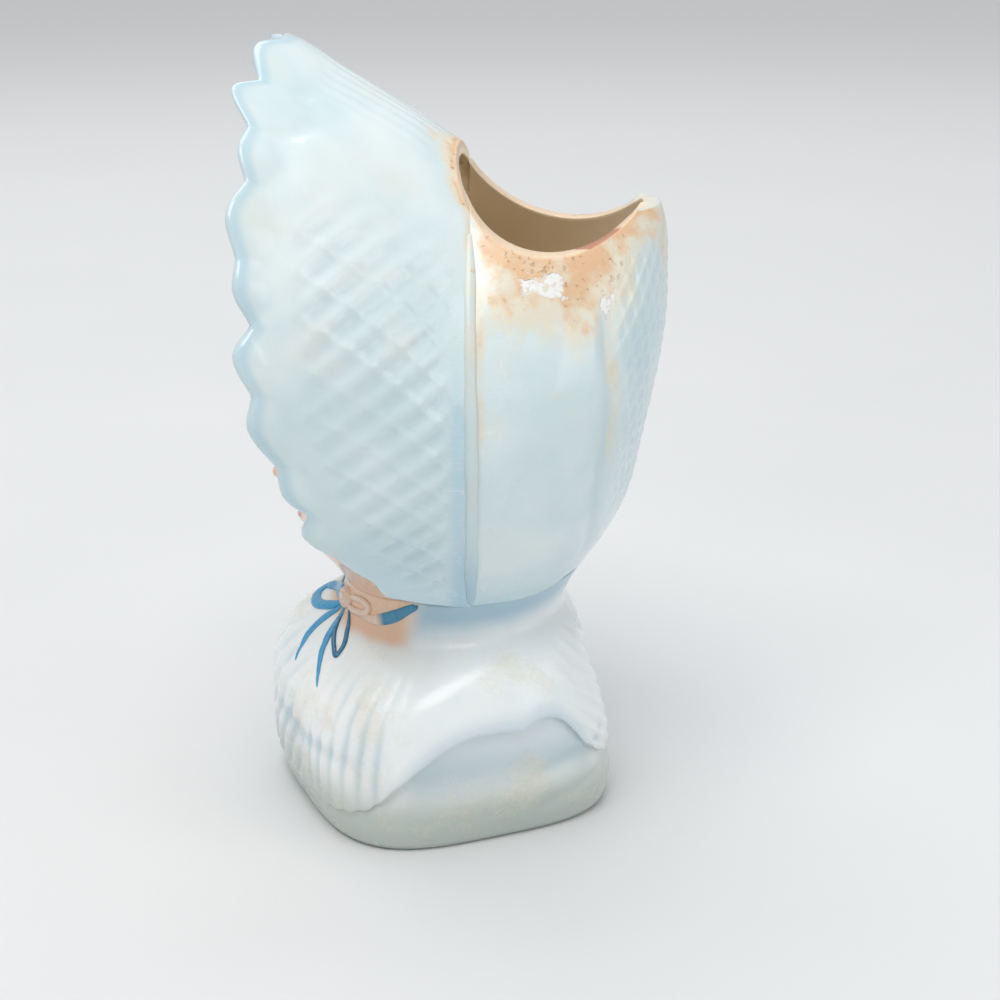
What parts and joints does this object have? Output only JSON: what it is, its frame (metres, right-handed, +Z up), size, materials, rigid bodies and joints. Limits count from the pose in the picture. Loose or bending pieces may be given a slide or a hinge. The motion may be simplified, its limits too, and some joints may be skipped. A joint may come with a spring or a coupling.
{
  "type": "head planter",
  "caption": "Hollow ceramic bust of a child in a quilted, scalloped bonnet, open behind the brim to hold a plant or flowers.",
  "frame": {"origin": "centre of the flat underside of the base", "axes": "+Z up, the figure's chest faces -Y, its left shoulder is towards +X; the head is turned 22 degrees to its right"},
  "size_m": [0.0967, 0.0898, 0.1421],
  "materials": {
    "bonnet_glaze": "pale blue gloss glaze, crazed",
    "gown_glaze": "blue-white gloss glaze",
    "skin_glaze": "peach gloss glaze",
    "bead_glaze": "pale glaze worn to the biscuit",
    "hair_paint": "light brown painted glaze",
    "ribbon_paint": "bright blue overglaze paint"
  },
  "bodies": {
    "root": {"gown_bust": "gown_glaze", "neck_and_face": "skin_glaze", "bonnet_crown": "bonnet_glaze", "bonnet_brim": "bonnet_glaze", "seam_bead_left": "bead_glaze", "seam_bead_right": "bead_glaze", "hair_fringe": "hair_paint", "bow_knot": "ribbon_paint", "bow_loop_left": "skin_glaze", "bow_loop_right": "ribbon_paint", "ribbon_strap_left": "ribbon_paint", "ribbon_strap_right": "ribbon_paint", "ribbon_tail_left": "ribbon_paint", "ribbon_tail_middle": "ribbon_paint", "ribbon_tail_right": "ribbon_paint"}
  },
  "joints": []
}
